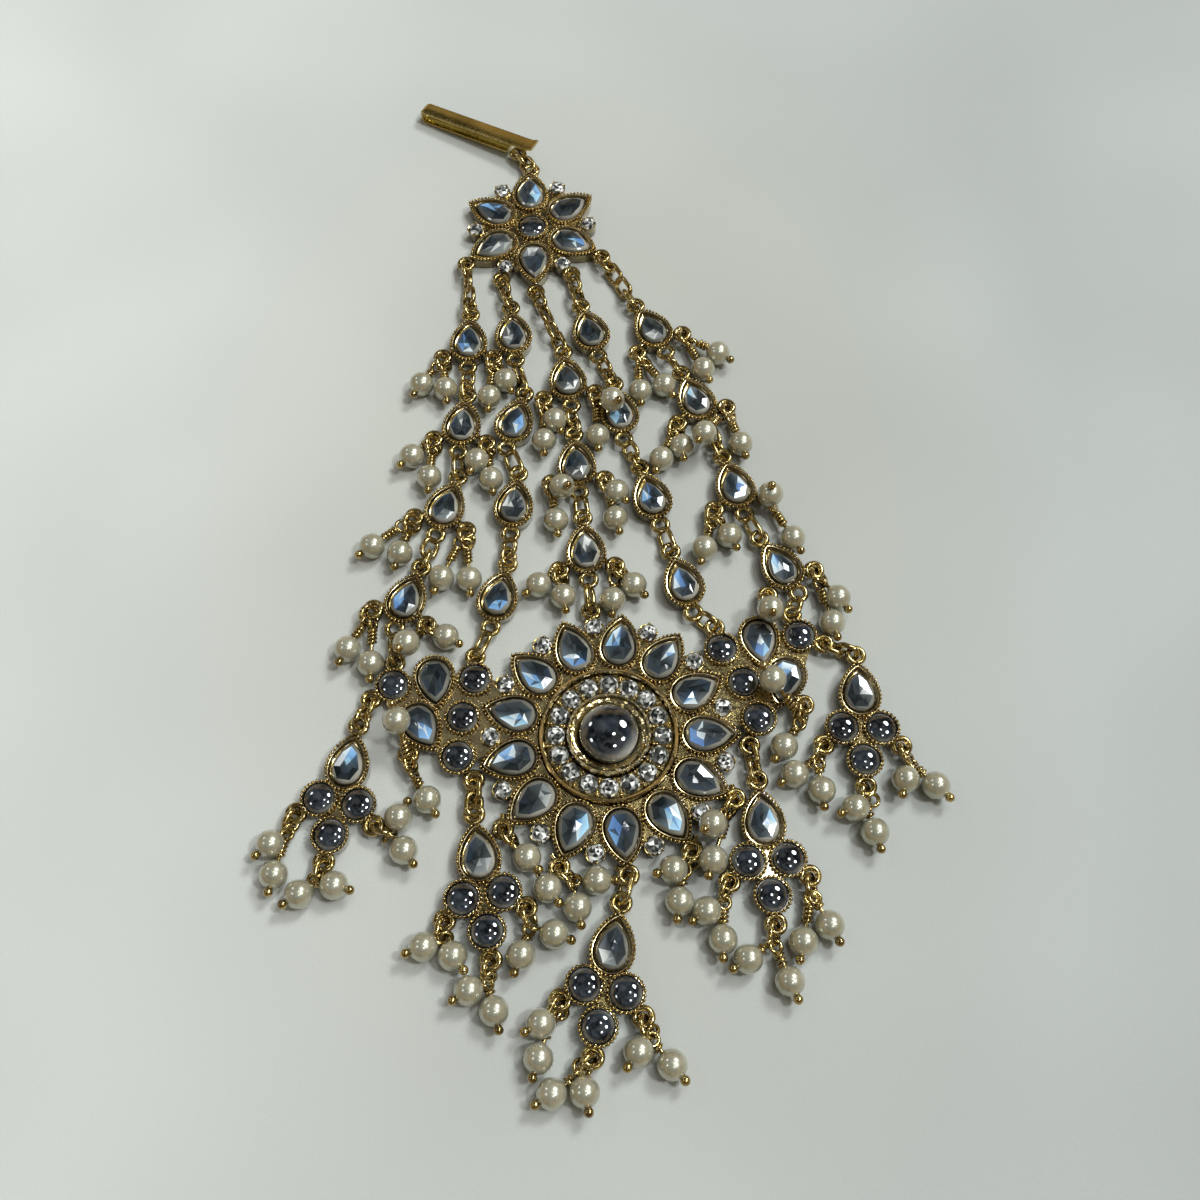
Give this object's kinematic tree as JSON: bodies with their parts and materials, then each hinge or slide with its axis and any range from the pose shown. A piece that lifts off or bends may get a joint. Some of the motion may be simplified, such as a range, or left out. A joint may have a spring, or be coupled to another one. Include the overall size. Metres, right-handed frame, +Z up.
{
  "type": "jhoomar head jewel",
  "caption": "Fan-shaped side-head jewel laid flat: a hook, a flower, strands of pear settings with pearls on pins, a winged medallion and hanging drops.",
  "frame": {"origin": "middle of the laid jewel's footprint, on the surface it lies on", "axes": "+Y from the drops to the flower and its hook, +Z up from the surface to the stones, +X to the wearer-side wing on the right as seen from above"},
  "size_m": [0.1002, 0.1786, 0.0082],
  "materials": {
    "gold": "antique gold plate, worn bright on the edges and dark in the recesses",
    "stone": "clear foil-backed glass, polished",
    "pearl": "cream imitation pearl"
  },
  "bodies": {
    "root": {"hook": "gold", "hook_ring": "gold", "flower": "gold", "medallion": "gold", "centre_stone": "stone", "strand_1_top_ring": "gold", "strand_1_link_1": "gold", "strand_1_link_2": "gold", "strand_1_link_3": "gold", "strand_1_link_4": "gold", "strand_2_top_ring": "gold", "strand_2_link_1": "gold", "strand_2_link_2": "gold", "strand_2_link_3": "gold", "strand_2_link_4": "gold", "strand_3_top_ring": "gold", "strand_3_link_1": "gold", "strand_3_link_2": "gold", "strand_3_link_3": "gold", "strand_4_top_ring": "gold", "strand_4_link_1": "gold", "strand_4_link_2": "gold", "strand_4_link_3": "gold", "strand_4_link_4": "gold", "strand_5_top_ring": "gold", "strand_5_link_1": "gold", "strand_5_link_2": "gold", "strand_5_link_3": "gold", "strand_5_link_4": "gold", "drop_1": "gold", "drop_1_ring": "gold", "drop_1_left_pearls": "pearl", "drop_1_bottom_pearls": "pearl", "drop_1_right_pearls": "pearl", "drop_2": "gold", "drop_2_ring": "gold", "drop_2_left_pearls": "pearl", "drop_2_bottom_pearls": "pearl", "drop_2_right_pearls": "pearl", "drop_3": "gold", "drop_3_ring": "gold", "drop_3_left_pearls": "pearl", "drop_3_bottom_pearls": "pearl", "drop_3_right_pearls": "pearl", "drop_4": "gold", "drop_4_ring": "gold", "drop_4_left_pearls": "pearl", "drop_4_bottom_pearls": "pearl", "drop_4_right_pearls": "pearl", "drop_5": "gold", "drop_5_ring": "gold", "drop_5_left_pearls": "pearl", "drop_5_bottom_pearls": "pearl", "drop_5_right_pearls": "pearl", "wing_left_pearls": "pearl", "wing_right_pearls": "pearl", "rim_pearls_1": "pearl", "rim_pearls_2": "pearl", "rim_pearls_3": "pearl", "rim_pearls_4": "pearl"}
  },
  "joints": []
}
